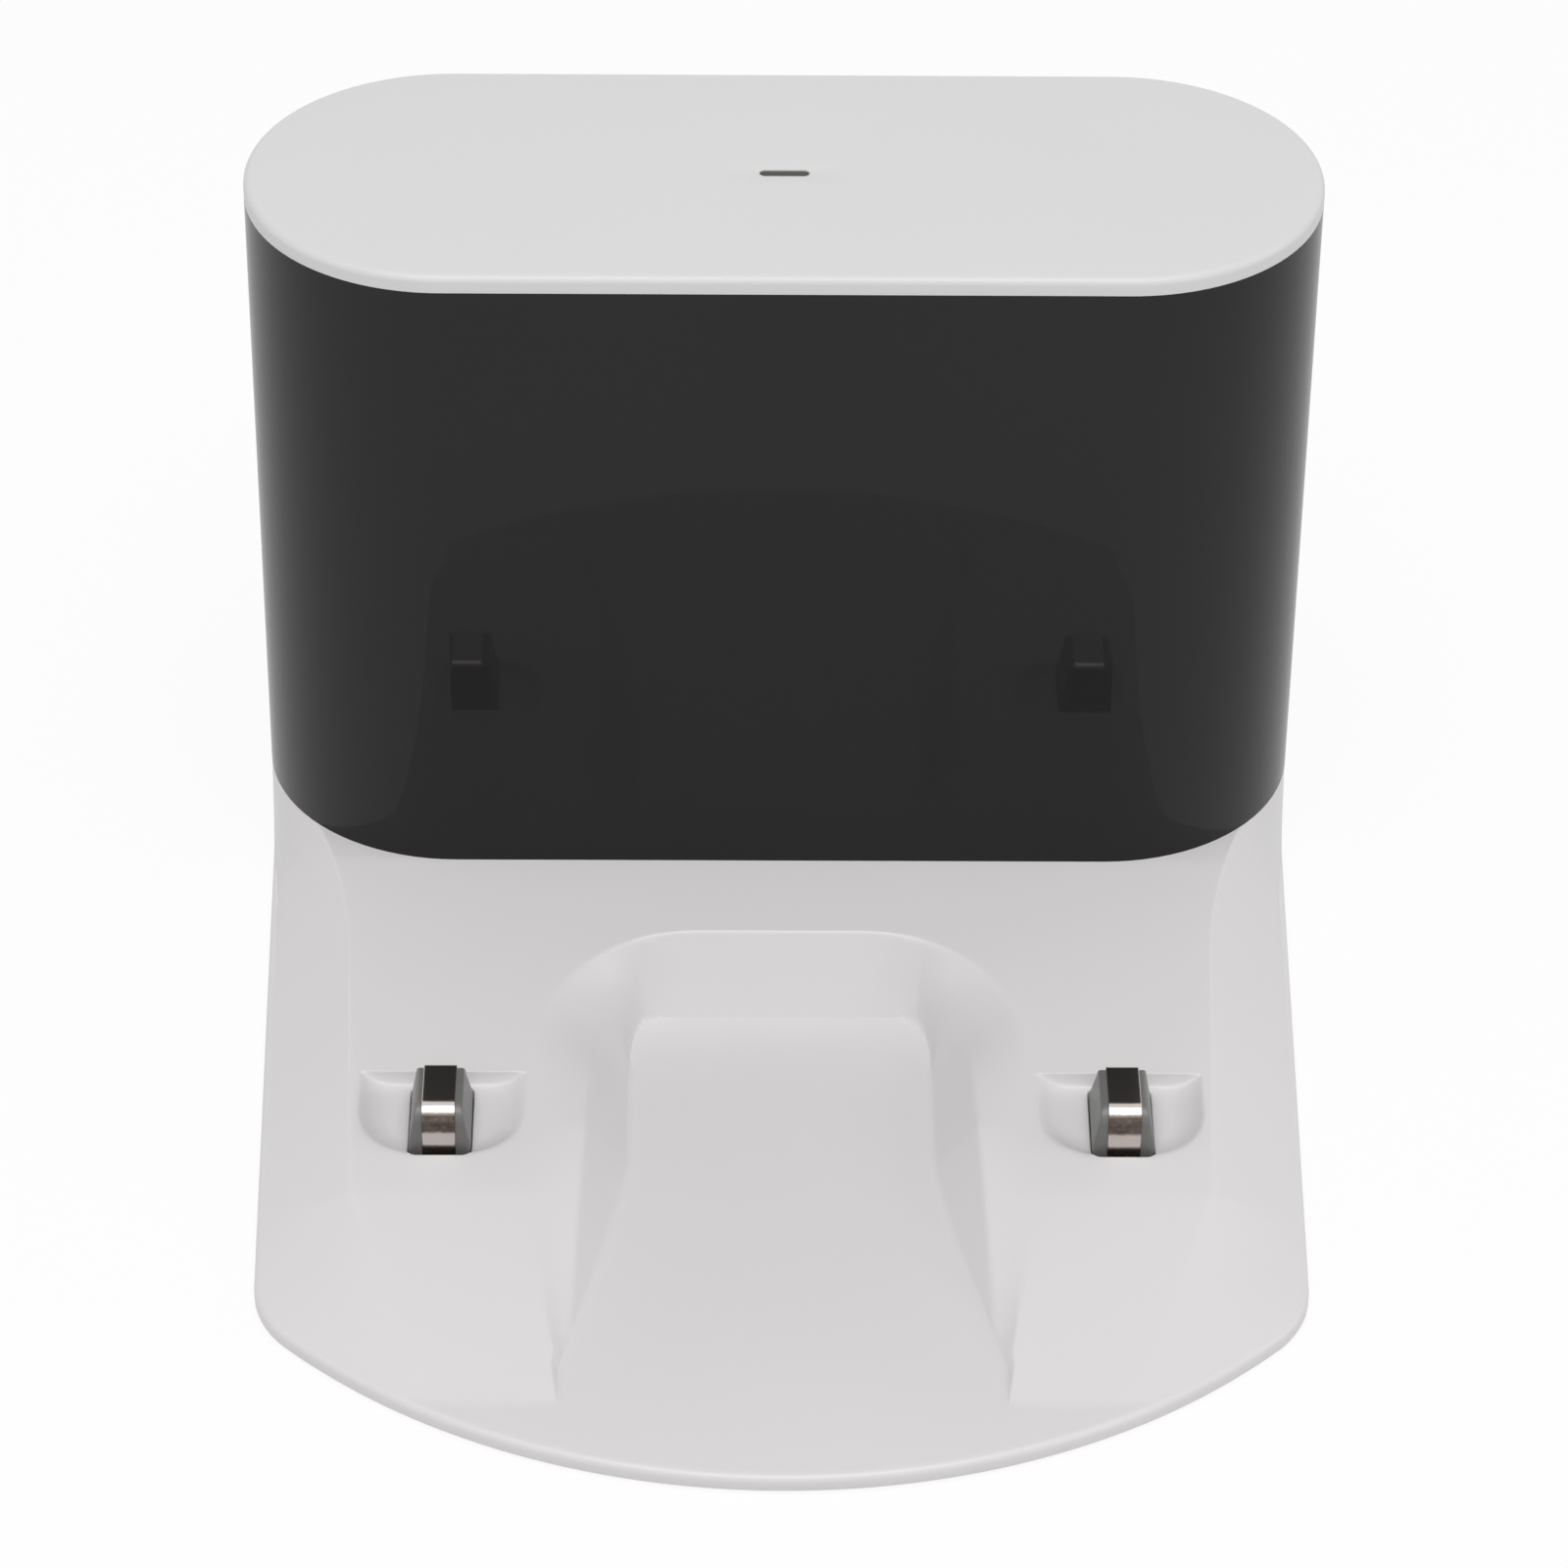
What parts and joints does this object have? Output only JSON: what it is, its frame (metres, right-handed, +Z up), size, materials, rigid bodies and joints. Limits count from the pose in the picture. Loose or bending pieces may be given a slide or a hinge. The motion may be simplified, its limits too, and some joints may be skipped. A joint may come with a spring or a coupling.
{
  "type": "robot vacuum charging dock",
  "caption": "Charging dock for a robot vacuum: white ramped base with a wheel trough and sprung metal contacts, under an upright black oval head with a white cap",
  "frame": {"origin": "middle of the overall box, on the floor under the rubber feet", "axes": "+X to the right seen from the front, +Y to the wall behind the dock, +Z up; the ramp faces -Y"},
  "size_m": [0.13, 0.151, 0.098],
  "materials": {
    "white_shell": "satin moulded white",
    "white_cap": "satin moulded white",
    "black_window": "polished black, infrared clear",
    "smoke_lens": "smoke",
    "contact_metal": "bright nickel plate",
    "grey_carrier": "satin grey",
    "spring_steel": "plain",
    "terminal_brass": "plain",
    "lead_red": "insulated wire",
    "lead_black": "insulated wire",
    "board_green": "circuit board",
    "bracket_grey": "moulded",
    "emitter_clear": "clear resin",
    "dark_component": "moulded case",
    "fuse_sleeve": "sleeved glass",
    "inlet_black": "moulded",
    "pin_metal": "nickel plate",
    "foot_rubber": "soft pad",
    "screw_steel": "zinc plate"
  },
  "bodies": {
    "dock": {"base_shell": "white_shell", "beacon_board": "board_green", "beacon_bracket": "bracket_grey", "beacon_emitters": "emitter_clear", "beacon_lead": "lead_black", "beacon_screws": "screw_steel", "bottom_cover": "white_shell", "bulk_capacitor": "dark_component", "contact_lead_left": "lead_red", "contact_lead_right": "lead_black", "contact_spring_left": "spring_steel", "contact_spring_right": "spring_steel", "cover_screws": "screw_steel", "filter_choke": "dark_component", "foot_mid_left": "foot_rubber", "foot_mid_right": "foot_rubber", "foot_nose": "foot_rubber", "foot_rear_left": "foot_rubber", "foot_rear_right": "foot_rubber", "front_window": "black_window", "head_screws": "screw_steel", "indicator_board": "board_green", "indicator_lead": "lead_black", "indicator_screws": "screw_steel", "inlet_pins": "pin_metal", "light_guide": "smoke_lens", "mains_fuse": "fuse_sleeve", "mains_inlet": "inlet_black", "output_capacitor": "dark_component", "power_board": "board_green", "power_screws": "screw_steel", "rear_shell": "white_shell", "rectifier": "dark_component", "spring_terminal_left": "terminal_brass", "spring_terminal_right": "terminal_brass", "status_light": "emitter_clear", "top_cap": "white_cap", "transformer": "dark_component"},
    "contact_left": {"contact_plate_left": "contact_metal", "contact_carrier_left": "grey_carrier"},
    "contact_right": {"contact_plate_right": "contact_metal", "contact_carrier_right": "grey_carrier"}
  },
  "joints": [
    {"name": "contact_press_left", "type": "slide", "parent": "dock", "child": "contact_left", "axis": [0, 0, -1], "range_m": [0, 0.002], "stiffness_N_per_m": 600, "springref_m": -0.002, "deforming": ["contact_spring_left"]},
    {"name": "contact_press_right", "type": "slide", "parent": "dock", "child": "contact_right", "axis": [0, 0, -1], "range_m": [0, 0.002], "stiffness_N_per_m": 600, "springref_m": -0.002, "deforming": ["contact_spring_right"]}
  ]
}
